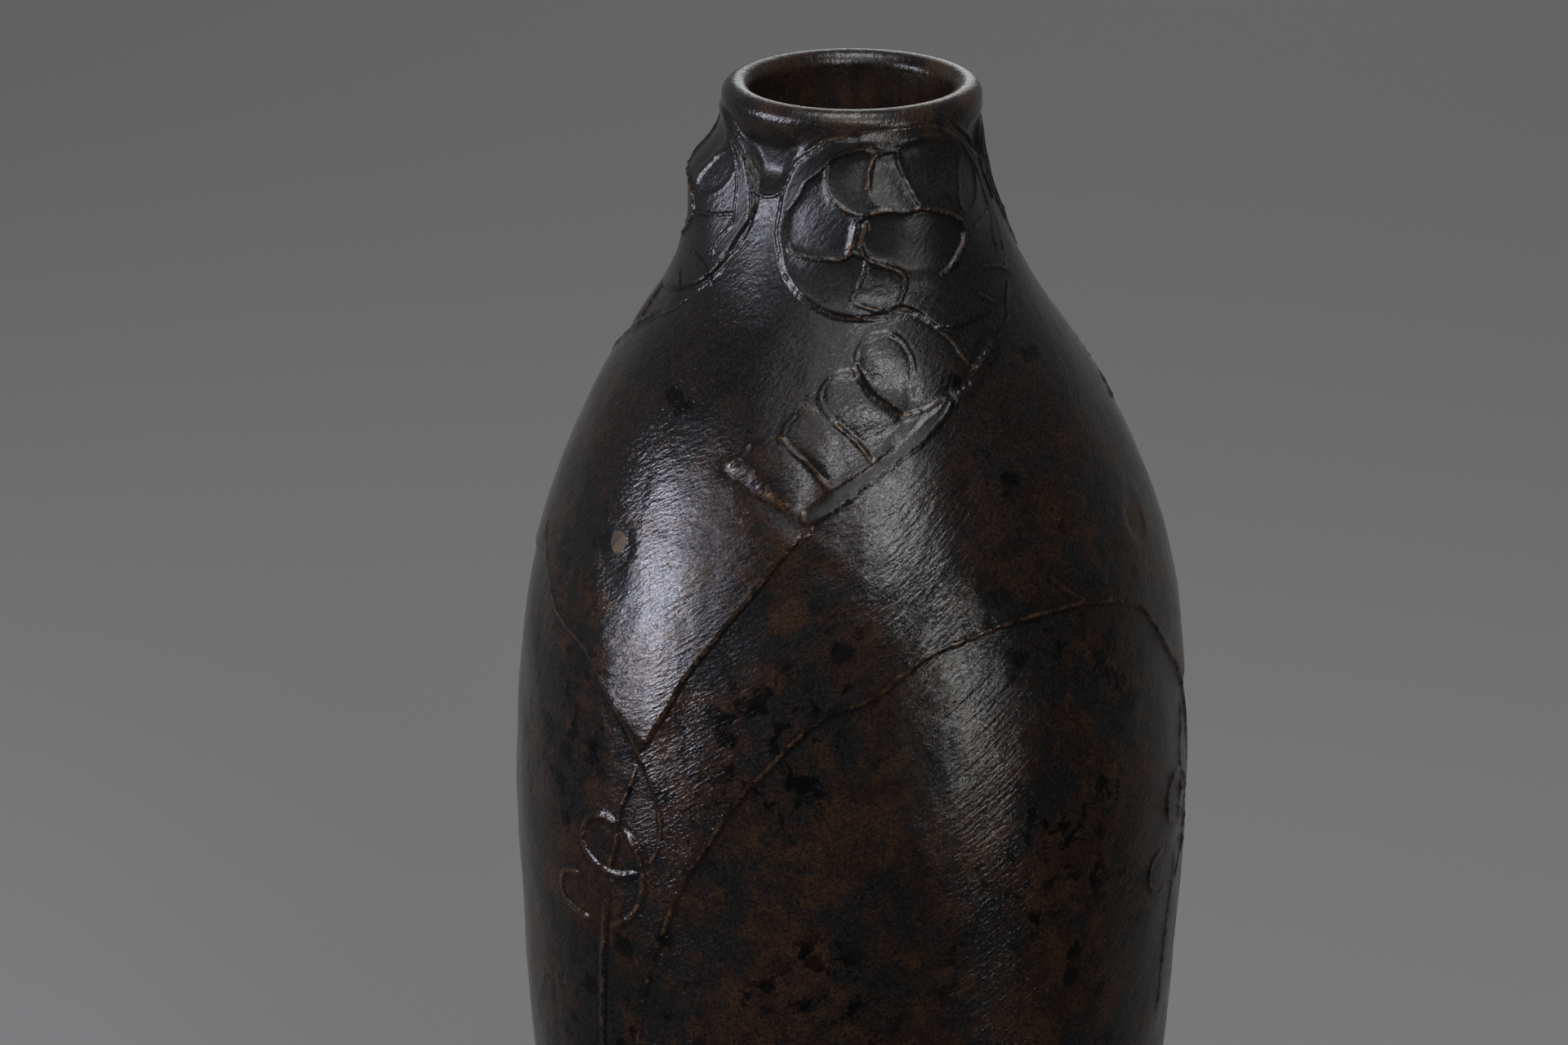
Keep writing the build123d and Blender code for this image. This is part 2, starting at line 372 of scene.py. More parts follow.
LEAF_FORMS = {
    "one": (
        "1122,386 1140,398 1160,416 1175,437 1183,448 1176,470 1162,487 1131,502 1106,508 1090,490 "
        "1075,450 1075,420 1085,400 1100,388"
    ),
    "two": (
        "1048,445 1050,430 1057,419 1068,411 1080,408 1095,412 1108,424 1117,442 1119,470 1106,508 "
        "1095,501 1080,491 1065,478 1055,462"
    ),
    "three": (
        "1004,490 1008,474 1016,464 1027,457 1038,455 1048,457 1055,463 1065,479 1080,492 1095,502 "
        "1106,509 1092,540 1070,563 1057,548 1035,529 1020,516 1008,502"
    ),
    "four": (
        "974,509 986,501 1004,500 1020,516 1035,529 1057,549 1070,563 1042,584 1016,596 1005,586 984,563 "
        "970,552 955,537 960,524"
    ),
    "five": (
        "890,573 905,560 916,550 935,540 955,537 970,552 984,563 1005,586 1013,598 983,629 965,620 "
        "945,606 925,590 905,577"
    ),
}

# (line, extra turn, height, half width, crevice on the left or right side, wear)
RIDGES = [
    (HEAD_OUTER, 0, 0.55, 0.21, 1, 0.75),
    (HEAD_BAND_INNER, 0, 0.29, 0.17, 0, 0.35),
    (HEAD_TOP, 0, 0.24, 0.34, 0, 0.6),
    (CELL_ONE_LEFT, 0, 0.45, 0.21, 0, 0.8),
    (CELL_ONE_TOP, 0, 0.25, 0.17, 0, 0.4),
    (CELL_DIVIDER_ONE, 0, 0.34, 0.32, 0, 0.9),
    (CELL_DIVIDER_TWO, 0, 0.45, 0.26, 0, 0.8),
    (CELL_TWO_TOP, 0, 0.29, 0.19, 0, 0.5),
    (EYE_TOP, 0, 0.55, 0.27, 0, 1.0),
    (EYE_LEFT, 0, 0.45, 0.26, 0, 0.85),
    (HUB_LEFT, 0, 0.31, 0.36, 0, 0.9),
    (LEFT_CELL_FOOT, 0, 0.45, 0.21, 0, 0.7),
    (LOW_DIVIDER, 0, 0.45, 0.23, 0, 0.9),
    (OVAL_CELL, 0, 0.25, 0.21, 0, 0.4),
    (HEAD_CREASE_ONE, 0, 0.40, 0.26, 1, 0.5),
    (HEAD_CREASE_TWO, 0, 0.30, 0.24, 1, 0.5),
    (RIGHT_OUTER, UNIT_TURN, 0.55, 0.21, -1, 0.6),
    (RIGHT_INNER, UNIT_TURN, 0.35, 0.18, 0, 0.4),
    (RIGHT_STEM, UNIT_TURN, 0.29, 0.21, -1, 0.4),
    (RIGHT_CROSS, UNIT_TURN, 0.40, 0.21, 0, 0.5),
    (POCKET, 0, 0.40, 0.17, -1, 0.4),
    (STEM_OUTER, 0, 0.33, 0.25, 0, 0.35),
    (STEM_INNER, 0, 0.24, 0.22, 0, 0.25),
    (STEM_TIP, 0, 0.33, 0.28, 0, 0.5),
    (STEM_RISE, 0, 0.38, 0.70, 0, 0.35),
    (STEM_SPUR, 0, 0.34, 0.28, 0, 0.9),
    (LEAF_ONE_EDGE, 0, 0.41, 0.28, 0, 1.0),
    (LEAF_ONE_FOOT, 0, 0.28, 0.28, 0, 0.6),
    (LEAF_TWO_ARC, 0, 0.27, 0.25, 0, 0.25),
    (LEAF_DIVIDER_ONE, 0, 0.37, 0.26, 0, 1.0),
    (LEAF_THREE_ARC, 0, 0.27, 0.18, 0, 0.5),
    (LEAF_THREE_SIDE, 0, 0.28, 0.28, 0, 0.3),
    (LEAF_DIVIDER_TWO, 0, 0.34, 0.30, 0, 1.0),
    (LEAF_FOUR_SIDE, 0, 0.24, 0.20, 0, 0.7),
    (LEAF_DIVIDER_THREE, 0, 0.34, 0.24, 0, 1.0),
    (LEAF_FIVE_TIP, 0, 0.41, 0.30, 0, 0.9),
    (LEAF_FIVE_FOOT, 0, 0.14, 0.80, 0, 0.9),
    (WHIPLASH_SPUR, 0, 0.24, 0.34, 0, 0.5),
    (KNOT_STEM, 0, 0.40, 0.35, 1, 0.7),
    (KNOT_LOOP, 0, 0.44, 0.35, 0, 0.7),
    (KNOT_HOOK, 0, 0.48, 0.38, 0, 0.8),
    (KNOT_CRESCENT, 0, 0.37, 0.38, 0, 0.6),
    (KNOT_DOWN, 0, 0.32, 0.44, 1, 0.6),
]


# Unevenness of the crests: (how many waves, shortest and longest in mm, seed)
CREST_LONG_WAVES = (40, 2.5, 7.0, 8)
CREST_SHORT_WAVES = (60, 0.9, 1.8, 9)
CREST_UNEVENNESS = 0.35
CREST_LEAST = 0.2
CREST_ROUNDING = 0.01

# Ridges: reach in mm, how they fade at their ends, and the groove beside them in
# half widths of the ridge
RIDGE_REACH = 5.0
RIDGE_END = 0.07
RIDGE_END_HEIGHT = 0.25
RIDGE_WEAR_WIDTH = 1.3
GROOVE_PLACE = 2.2
GROOVE_WIDTH = 1.1
GROOVE_DEPTH = 0.22
GROOVE_SHARE = 0.6
GROOVE_FAR_SHARE = 0.35

# Steps: reach in fades, the dip at the foot and the wear in edge widths, the band
# of wear above the step in mm
STEP_REACH = 3.0
STEP_END = 0.08
DIP_PLACE = 1.6
DIP_WIDTH = 1.4
# How dark the dip at the foot of a step is painted, as painted shade
DIP_SHADE = 0.7
STEP_WEAR_WIDTH = 1.6
BAND_PLACE = 1.0
BAND_WIDTH = 0.9
CHEEK_REACH = 4.0
CELL_REACH = 9.0
CELL_MARGIN = 1.0
CELL_LINE_STRIDE = 3


class Relief:
    """Height of the ornament over the wall, with maps of wear and of painted shade, all on the grid."""

    def __init__(self):
        blank = [np.zeros((ROWS, COLUMNS), np.float32) for _ in range(6)]
        self.form, self.soft, self.ridge, self.wear, self.painted_shade, self.olive = blank
        long_waves = CREST_UNEVENNESS * waves(*CREST_LONG_WAVES)
        self.uneven = 1.0 + long_waves + CREST_UNEVENNESS * waves(*CREST_SHORT_WAVES)

    def add_ridge(self, line, height, half_width, crevice, wear):
        """A thin raised line with a pinched crest and a groove beside it."""
        distance, side, along = near(line, RIDGE_REACH)
        ends = smoothstep(along, 0.0, RIDGE_END) * smoothstep(1.0 - along, 0.0, RIDGE_END)
        crest = np.exp(-np.sqrt(distance ** 2 + CREST_ROUNDING) / half_width)
        crest = crest * np.maximum(self.uneven, CREST_LEAST)
        shape = RIDGE_END_HEIGHT + (1.0 - RIDGE_END_HEIGHT) * ends
        self.ridge = np.maximum(self.ridge, height * crest * shape)
        worn = wear * np.exp(-(distance / (RIDGE_WEAR_WIDTH * half_width)) ** 2)
        self.wear = np.maximum(self.wear, worn)
        off_groove = (distance - GROOVE_PLACE * half_width) / (GROOVE_WIDTH * half_width)
        groove = np.exp(-off_groove ** 2)
        beside = np.where(side == crevice, 1.0, GROOVE_FAR_SHARE) if crevice else GROOVE_SHARE
        # The groove beside the ridge is also painted darker: painted shade.
        self.painted_shade = np.maximum(self.painted_shade, groove * beside)
        self.form -= GROOVE_DEPTH * height * groove * beside

    def add_step(self, line, height, left_fade, edge, wear, right_dip=0.0, band=0.0, cheek=0.0):
        """A drop to the right of the line. The raised left side fades back to the wall."""
        reach = STEP_REACH * left_fade
        distance, side, along = near(line, reach)
        ends = smoothstep(along, 0.0, STEP_END) * smoothstep(1.0 - along, 0.0, STEP_END)
        away = smoothstep(reach - distance, 0.0, left_fade)
        signed = distance * side
        raised = smoothstep(signed, -edge, edge) * np.exp(-np.maximum(signed, 0.0) / left_fade)
        raised *= away
        sunk = np.exp(-((signed + edge * DIP_PLACE) / (edge * DIP_WIDTH)) ** 2)
        self.form += (height * raised - right_dip * sunk) * ends
        falls = np.maximum(-signed, 0.0)
        self.form -= cheek * falls * np.exp(-falls / CHEEK_REACH) * away * ends
        worn = wear * np.exp(-((signed - edge) / (STEP_WEAR_WIDTH * edge)) ** 2)
        self.wear = np.maximum(self.wear, worn * ends)
        worn = band * np.exp(-((signed - BAND_PLACE) / BAND_WIDTH) ** 2)
        self.wear = np.maximum(self.wear, worn * ends)
        # The dip at the foot of the step is painted darker: painted shade.
        self.painted_shade = np.maximum(self.painted_shade, DIP_SHADE * sunk * ends)

    def add_cell(self, line, height, roundness):
        """A pillow, or with a negative height a dish, inside a closed line."""
        short = np.clip(1.0 - inward_distance(line) / roundness, 0.0, 1.0)
        self.soft += height * (1.0 - short ** 2) * (short < 1.0)

    def add_olive(self, line, edge, share):
        """A patch of smooth, even olive patina."""
        self.olive = np.maximum(self.olive, share * smoothstep(inward_distance(line), 0.0, edge))

    def add_plateau(self, line, height, edge):
        """A flat rise with a soft edge inside a closed line."""
        self.form += height * smoothstep(inward_distance(line), 0.0, edge)


def inward_distance(line):
    """How far inside a closed line each grid point lies, up to a reach, and 0 outside it."""
    ends = (line[:, 1].min() - CELL_MARGIN, line[:, 1].max() + CELL_MARGIN)
    low, high = np.searchsorted(ROW_RUN, ends)
    columns = np.arange(
        int(line[:, 0].min() / COLUMN_STEP) - 2, int(line[:, 0].max() / COLUMN_STEP) + 3
    )
    x = (columns * COLUMN_STEP)[None, :]
    y = ROW_RUN[low:high][:, None]
    within = np.zeros((high - low, len(columns)), bool)
    outline = line[::CELL_LINE_STRIDE]
    for first, second in zip(outline, np.roll(outline, -1, axis=0)):
        if first[1] == second[1]:
            continue
        spans = (first[1] > y) != (second[1] > y)
        crossing = first[0] + (y - first[1]) / (second[1] - first[1]) * (second[0] - first[0])
        within ^= spans & (x < crossing)
    distance = near(line, CELL_REACH)[0]
    result = np.zeros((ROWS, COLUMNS), np.float32)
    wrapped = columns % COLUMNS
    result[low:high, wrapped] = np.where(within, distance[low:high, wrapped], 0.0)
    return result


def places_of(pixels, turn):
    """The places on the wall of a line given in pixels, turned round the axis."""
    return [on_wall([int(part) for part in pair.split(",")], turn) for pair in pixels.split()]


def closed_line(pixels, turn):
    places = places_of(pixels, turn)
    if places[0] != places[-1]:
        places = places + places[:1]
    return through(places)


DOME_AZIMUTH = 24.0
DOME_HALF_ANGLE = 50.0
DOME_HEIGHTS = [218.0, 221.0, 224.0, 227.0, 230.0, 232.5, 234.5, 236.5, 238.5, 240.5, 242.5, 245.0]
DOME_RISES = [0.0, 0.25, 1.1, 2.2, 3.4, 4.1, 4.25, 3.6, 2.35, 0.97, 0.17, 0.0]
DOME_BLUR = 1.1
DOME_BLUR_SAMPLES = 17


def add_domes(relief, turn):
    """The crozier heads stand well out from the neck."""
    off = azimuth_off(DOME_AZIMUTH + turn)
    across = np.cos(np.clip(off / DOME_HALF_ANGLE, -1.0, 1.0) * math.pi / 2) ** 2
    spread = np.linspace(-2.0, 2.0, DOME_BLUR_SAMPLES)
    weights = np.exp(-0.5 * spread ** 2)
    rises = np.interp(ROW_Z[:, None] + DOME_BLUR * spread, DOME_HEIGHTS, DOME_RISES)
    up = rises @ (weights / weights.sum())
    relief.form += (up[:, None] * across[None, :]).astype(np.float32)


POCKET_FORM = (
    "904,160 925,158 950,160 975,168 990,176 977,192 967,210 960,230 951,238 940,241 929,237 921,230 "
    "917,205 911,184 904,160"
)
POCKET_HEIGHTS = [235.3, 236.5, 239.3, 243.0, 246.3]
POCKET_DEPTHS = [0.0, 0.5, 1.6, 1.2, 0.0]
POCKET_EDGE = 2.2
OLIVE_BANDS = [
    (
        "1047,170 1016,174 996,188 979,199 968,218 961,236 957,259 965,258 980,237 990,221 1001,211 "
        "1016,197 1033,186 1056,181 1047,170"
    ),
    (
        "915,202 918,218 920,234 921,254 918,274 911,288 901,301 889,312 881,310 890,288 900,276 903,260 "
        "907,242 908,213 915,202"
    ),
]
# Olive patina: (width of its soft edge in mm, share)
EYE_OLIVE = (1.5, 0.55)
POCKET_OLIVE = (2.0, 0.45)
BAND_OLIVE = (0.5, 0.6)
SPINDLE_OLIVE = (0.5, 0.55)
HEAD_RISE = 0.6
HEAD_EDGE = 0.6
CELL_DEPTHS = {"eye": 0.55, "oval": 0.35, "low_left": 0.25}
PLAIN_CELL_DEPTH = 0.40
CELL_ROUNDNESS = 1.1
SPINDLE_HEIGHT = 0.7
SPINDLE_ROUNDNESS = 1.2
SPINDLES = [
    "984,628 1014,608 1038,592 1061,577 1072,566 1098,563 1081,578 1053,602 1022,624 992,640",
    "1078,564 1098,550 1114,535 1134,515 1152,500 1166,489 1161,502 1148,520 1130,540 1112,555 1100,561",
]
LEAF_HEIGHT = 0.42
LEAF_ROUNDNESS = 0.9
LEAF_DROP = 0.60
# Where each leaf begins to roll off and where it has dropped by the amount above
LEAF_ROLLS = {
    "five": "950,598 983,603",
    "four": "985,563 1018,574",
    "three": "1052,486 1064,524",
    "one": "1140,430 1136,480",
    "two": "1102,424 1094,462",
}
LEAF_ROLL_END = 1.3
LEAF_DIVIDERS = [LEAF_DIVIDER_ONE, LEAF_DIVIDER_TWO, LEAF_DIVIDER_THREE]

# Steps: (height, left fade, edge, wear, right dip, band, cheek)
LEAF_STEP = (0.12, 2.4, 0.2, 0.3)
STEM_STEP = (0.45, 9.0, 0.14, 0.8, 0.06, 0.45, 0.15)
WHIPLASH_STEP = (0.26, 6.0, 0.2, 0.7, 0.04, 0.3, 0.08)
# A ridge: (height, half width, crevice, wear)
WHIPLASH_RIDGE = (0.17, 0.30, 0, 0.8)
WHIPLASH_JOIN_GAP = 8.0


def rolled_off(start, end):
    """0 before the start, 1 at the end and steeper on the way, over the whole grid."""
    across_end = math.radians(end[0] - start[0]) * float(np.interp(start[1], ROW_RUN, ROW_R))
    up_end = end[1] - start[1]
    up = (ROW_RUN - start[1])[:, None]
    share = (across_from(start[0]) * across_end + up * up_end) / (across_end ** 2 + up_end ** 2)
    return np.clip(share, 0.0, LEAF_ROLL_END) ** 2


def add_unit(relief, turn):
    """One third of the ornament."""
    add_domes(relief, turn)
    relief.add_plateau(closed_line(HEAD_FORM, turn), HEAD_RISE, HEAD_EDGE)
    for name, pixels in CELL_FORMS.items():
        line = closed_line(pixels, turn)
        relief.add_cell(line, -CELL_DEPTHS.get(name, PLAIN_CELL_DEPTH), CELL_ROUNDNESS)
        if name == "eye":
            relief.add_olive(line, *EYE_OLIVE)
    pocket = closed_line(POCKET_FORM, turn)
    scoop = smoothstep(inward_distance(pocket), 0.0, POCKET_EDGE)
    relief.soft -= scoop * np.interp(ROW_Z, POCKET_HEIGHTS, POCKET_DEPTHS)[:, None]
    relief.add_olive(pocket, *POCKET_OLIVE)
    for pixels, extra in zip(OLIVE_BANDS, (0.0, UNIT_TURN)):
        relief.add_olive(closed_line(pixels, turn + extra), *BAND_OLIVE)
    leaves = np.zeros((ROWS, COLUMNS), np.float32)
    for name, ends in LEAF_ROLLS.items():
        inside = inward_distance(closed_line(LEAF_FORMS[name], turn))
        short = np.clip(1.0 - inside / LEAF_ROUNDNESS, 0.0, 1.0)
        rolled = rolled_off(*places_of(ends, turn))
        tile = LEAF_HEIGHT * (1.0 - short ** 2) - LEAF_DROP * rolled
        leaves = np.where(inside > 0.0, tile, leaves)
    relief.soft += leaves
    for pixels in LEAF_DIVIDERS:
        relief.add_step(through(places_of(pixels, turn)[::-1]), *LEAF_STEP)
    for pixels in SPINDLES:
        line = closed_line(pixels, turn)
        relief.add_cell(line, SPINDLE_HEIGHT, SPINDLE_ROUNDNESS)
        relief.add_olive(line, *SPINDLE_OLIVE)
    relief.add_step(through(places_of(STEM_LOW, turn)), *STEM_STEP)
    for pixels, extra, height, half_width, crevice, wear in RIDGES:
        line = through(places_of(pixels, turn + extra))
        relief.add_ridge(line, height, half_width, crevice, wear)


def whiplash_places(turn, own_end):
    """A long stem that runs from below one knot into the next one."""
    start = places_of(WHIPLASH, turn)
    end = places_of(WHIPLASH_END, turn + UNIT_TURN)
    if own_end:
        start = [place for place in start if place[0] < end[1][0] - WHIPLASH_JOIN_GAP]
        return start + end[1:]
    end = [place for place in end if place[0] > start[-1][0] + WHIPLASH_JOIN_GAP]
    return start + end


def add_whiplash(relief, turn, own_end):
    line = through(whiplash_places(turn, own_end))
    relief.add_step(line, *WHIPLASH_STEP)
    relief.add_ridge(line, *WHIPLASH_RIDGE)


def waves(count, shortest, longest, seed):
    """Smooth hand-made unevenness, the same all round, about 1 at its highest."""
    rng = np.random.default_rng(seed)
    azimuth = np.radians(COLUMN_AZ)[None, :]
    x = ROW_R[:, None] * np.sin(azimuth)
    y = -ROW_R[:, None] * np.cos(azimuth)
    z = ROW_Z[:, None]
    total = np.zeros((ROWS, COLUMNS))
    for _ in range(count):
        heading = rng.normal(size=3)
        heading /= np.linalg.norm(heading)
        length = rng.uniform(shortest, longest)
        phase = rng.uniform(0.0, 2 * math.pi)
        reach = 2 * math.pi / length
        total += np.sin(reach * (heading[0] * x + heading[1] * y + heading[2] * z) + phase)
    return total / math.sqrt(count / 2.0) / 2.0


SOFT_PASSES = 12


def softened(field, passes):
    """A field with its creases rounded off, about half a millimetre to each side."""
    for _ in range(passes):
        field = (np.roll(field, 1, axis=1) + 2 * field + np.roll(field, -1, axis=1)) / 4
        field[1:-1] = (field[:-2] + 2 * field[1:-1] + field[2:]) / 4
    return field


# Hand-made unevenness: (height, how many waves, shortest and longest in mm, seed)
HAND_WAVES = [(0.30, 14, 28.0, 70.0, 3), (0.10, 30, 9.0, 18.0, 4), (0.022, 60, 3.0, 6.0, 5)]
PLUG_CLEARING = 4.5
PLUG_SINK = 0.05
FOOT_FADE = (0.5, 6.0)
LIP_FADE = 2.0


def sculpted_relief():
    relief = Relief()
    for number in range(3):
        turn = number * UNIT_TURN
        add_unit(relief, turn)
        add_whiplash(relief, turn, own_end=(number == 2))
    for rise, *wave in HAND_WAVES:
        relief.form += (rise * waves(*wave)).astype(np.float32)
    height = relief.form + softened(relief.soft, SOFT_PASSES) + relief.ridge
    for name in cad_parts:
        if name.startswith("core_plug"):
            low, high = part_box(name)
            middle = (low + high) / 2 / MM
            azimuth = math.degrees(math.atan2(middle.x, -middle.y))
            gap = np.hypot(across_from(azimuth), (ROW_Z - middle.z)[:, None])
            keep = smoothstep(gap, 0.5 * PLUG_CLEARING, PLUG_CLEARING)
            height = height * keep - PLUG_SINK * (1.0 - keep)
    low_edge = smoothstep(ROW_Z, *FOOT_FADE)[:, None]
    top_edge = smoothstep(NECK_TOP - ROW_Z, 0.0, LIP_FADE)[:, None]
    relief.height = height * low_edge * top_edge
    return relief


# The closed mesh of the body. Rows that aren't on the sculpted wall have one of
# these in place of its row number.

ON_FOOT = -1
ON_LIP = -2
ON_INSIDE = -3
FOOT_ROUND_ROWS = 5
FOOT_CLEAR = 1.3 * FOOT_EDGE_RADIUS
LIP_ROWS = 26
INSIDE_ROWS = 60
FLOOR_CLEAR = 1.0
CHAMFER = 0.4
LIP_BLEND = (NECK_TOP - 5.0, NECK_TOP + 1.0)
MARKS = ("wear", "painted_shade", "inside", "lip", "olive", "brushed")


def lathe_rows(relief):
    """Rows of (radius, height) arrays from the foot, over the lip and down inside."""
    slope_r = np.gradient(ROW_R, ROW_RUN)
    slope_z = np.gradient(ROW_Z, ROW_RUN)
    rows = []
    for i in range(ROWS):
        out = relief.height[i]
        rows.append((ROW_R[i] + slope_z[i] * out, ROW_Z[i] - slope_r[i] * out, i))
    foot = []
    for turn in np.linspace(0.0, math.pi / 2, FOOT_ROUND_ROWS)[:-1]:
        radius = FOOT_RADIUS - FOOT_EDGE_RADIUS * (1.0 - math.sin(turn))
        foot.append((radius, FOOT_EDGE_RADIUS * (1.0 - math.cos(turn)), ON_FOOT))
    rows = foot + [row for row in rows if np.min(row[1]) > FOOT_CLEAR]
    for turn in np.linspace(-LIP_CONTACT_ANGLE, math.pi, LIP_ROWS)[1:]:
        radius = LIP_RING_RADIUS + LIP_TUBE_RADIUS * math.cos(turn)
        rows.append((radius, LIP_CENTRE + LIP_TUBE_RADIUS * math.sin(turn), ON_LIP))
    inner = smooth_line(
        outline_points(FOOT_RADIUS - WALL, BELLY_RADIUS - WALL, MOUTH_RADIUS, LIP_CENTRE), INSIDE_ROWS
    )[::-1]
    floor = REBATE_DEPTH + FLANGE_THICKNESS
    for radius, height in inner[1:]:
        if height > floor + FLOOR_CLEAR:
            rows.append((radius, height, ON_INSIDE))
    rebate = FOOT_RADIUS - FOOT_RIM_WIDTH
    opening = rebate - FLANGE_WIDTH
    inner_floor = float(np.interp(floor, inner[::-1, 1], inner[::-1, 0]))
    for radius, height in (
        (inner_floor, floor + CHAMFER), (inner_floor - CHAMFER, floor), (opening + CHAMFER, floor),
        (opening, floor - CHAMFER), (opening, REBATE_DEPTH), (rebate, REBATE_DEPTH),
        (rebate, CHAMFER), (rebate + CHAMFER, 0.0),
    ):
        rows.append((radius, height, ON_INSIDE))
    return rows


def linked(name, data):
    """A new object in the scene."""
    made = bpy.data.objects.new(name, data)
    bpy.context.scene.collection.objects.link(made)
    return made


def build_body(relief):
    rows = lathe_rows(relief)
    azimuth = np.radians(COLUMN_AZ)
    count = len(rows)
    points = np.zeros((count, COLUMNS, 3))
    marks = {name: np.zeros((count, COLUMNS)) for name in MARKS}
    for i, (radius, height, source) in enumerate(rows):
        points[i, :, 0] = radius * np.sin(azimuth)
        points[i, :, 1] = -radius * np.cos(azimuth)
        points[i, :, 2] = height
        if source >= 0:
            marks["wear"][i] = relief.wear[source]
            marks["painted_shade"][i] = relief.painted_shade[source]
            marks["olive"][i] = relief.olive[source]
            marks["lip"][i] = smoothstep(ROW_Z[source], *LIP_BLEND)
        elif source == ON_LIP:
            marks["lip"][i] = 1.0
        elif source == ON_INSIDE:
            marks["inside"][i] = 1.0
    marks["brushed"] = brushed_share(points)
    corner = np.arange(count * COLUMNS).reshape(count, COLUMNS)
    upper = np.roll(corner, -1, axis=0)
    faces = [corner, np.roll(corner, -1, axis=1), np.roll(upper, -1, axis=1), upper]
    mesh = bpy.data.meshes.new("vessel_body_sculpted")
    mesh.vertices.add(count * COLUMNS)
    mesh.vertices.foreach_set("co", (points * MM).reshape(-1))
    flat = np.stack(faces, axis=-1).reshape(-1, 4)
    mesh.loops.add(flat.size)
    mesh.loops.foreach_set("vertex_index", flat.reshape(-1))
    mesh.polygons.add(len(flat))
    mesh.polygons.foreach_set("loop_start", np.arange(0, flat.size, 4))
    mesh.polygons.foreach_set("use_smooth", np.ones(len(flat), bool))
    mesh.update(calc_edges=True)
    mesh.validate()
    for name, values in marks.items():
        layer = mesh.attributes.new(name, "FLOAT", "POINT")
        layer.data.foreach_set("value", values.reshape(-1).astype(np.float32))
    add_sweep_attribute(mesh, points)
    return linked("vessel_body_sculpted", mesh)


BRUSHED_AZIMUTH = 17.0
BRUSHED_HALF_ANGLE = 17.0
BRUSHED_HEIGHT = 175.0
BRUSHED_HALF_HEIGHT = 30.0


def brushed_share(points):
    """Where the chaser's brush marks show most, right of each stem."""
    azimuth = np.degrees(np.arctan2(points[..., 0], -points[..., 1]))
    third = (azimuth - BRUSHED_AZIMUTH + UNIT_TURN / 2) % UNIT_TURN - UNIT_TURN / 2
    up = points[..., 2] - BRUSHED_HEIGHT
    return np.exp(-(third / BRUSHED_HALF_ANGLE) ** 2 - (up / BRUSHED_HALF_HEIGHT) ** 2)


SWEEP_TURN_PER_MM = 0.024


def add_sweep_attribute(mesh, points):
    """Places along a slow helix, in metres, for brush marks that climb to the right."""
    azimuth = np.arctan2(points[..., 0], -points[..., 1])
    shifted = azimuth - SWEEP_TURN_PER_MM * points[..., 2]
    radius = np.hypot(points[..., 0], points[..., 1])
    sweep = np.stack([radius * np.cos(shifted), radius * np.sin(shifted), points[..., 2]], axis=-1)
    layer = mesh.attributes.new("sweep", "FLOAT_VECTOR", "POINT")
    layer.data.foreach_set("vector", (sweep * MM).reshape(-1).astype(np.float32))


# Materials

class Shader:
    """A small helper that wires nodes of one material."""

    def __init__(self, name):
        self.material = bpy.data.materials.new(name)
        self.material.use_nodes = True
        self.tree = self.material.node_tree
        self.surface = self.tree.nodes["Principled BSDF"]

    def node(self, kind, settings=None, **inputs):
        made = self.tree.nodes.new("ShaderNode" + kind)
        for key, value in (settings or {}).items():
            setattr(made, key, value)
        for key, value in inputs.items():
            self.feed(made, key.replace("_", " "), value)
        return made

    def feed(self, node, socket, value):
        target = node.inputs[int(socket[1:])] if socket[0] == "#" else node.inputs[socket]
        if isinstance(value, bpy.types.NodeSocket):
            self.tree.links.new(value, target)
        else:
            target.default_value = value

    def place(self):
        return self.node("TexCoord").outputs["Object"]

    def attribute(self, name, output="Fac"):
        return self.node("Attribute", {"attribute_name": name}).outputs[output]

    def stretched(self, vector, scale):
        return self.node("Mapping", Vector=vector, Scale=scale).outputs["Vector"]

    def noise(self, vector, scale, detail, roughness, distortion=0.0):
        return self.node(
            "TexNoise", Vector=vector, Scale=scale, Detail=detail, Roughness=roughness,
            Distortion=distortion,
        ).outputs["Fac"]

    def spots(self, vector, scale):
        return self.node("TexVoronoi", Vector=vector, Scale=scale).outputs["Distance"]

    def patches(self, vector, pattern):
        """Ragged patches, 0 to 1, from a pattern of noise settings and two levels."""
        *settings, low, high = pattern
        return self.ramp(self.noise(vector, *settings), low, high)

    def ramp(self, value, low, high, flip=False):
        ends = {"To_Min": 1.0, "To_Max": 0.0} if flip else {}
        return self.node(
            "MapRange", {"interpolation_type": "SMOOTHSTEP"}, Value=value, From_Min=low,
            From_Max=high, **ends
        ).outputs["Result"]

    def math(self, operation, *values):
        made = self.node("Math", {"operation": operation})
        for i, value in enumerate(values):
            self.feed(made, f"#{i}", value)
        return made.outputs["Value"]

    def times(self, first, second):
        return self.math("MULTIPLY", first, second)

    def without(self, share, amount):
        """What is left of 1 when an amount of a share is taken off."""
        return self.math("SUBTRACT", 1.0, self.times(share, amount))

    def mix(self, share, first, second):
        made = self.node("Mix", {"data_type": "RGBA"})
        self.feed(made, "#0", share)
        self.feed(made, "#6", first)
        self.feed(made, "#7", second)
        return made.outputs[2]

    def over(self, colour, share, amount, other):
        """Another colour laid over the first, by an amount of a share."""
        return self.mix(self.times(share, amount), colour, other)

    def bump(self, height, distance, normal=None):
        made = self.node("Bump", Height=height, Distance=distance)
        if normal is not None:
            self.feed(made, "Normal", normal)
        return made.outputs["Normal"]

    def finish(self, **inputs):
        for key, value in inputs.items():
            self.feed(self.surface, key.replace("_", " "), value)
        return self.material


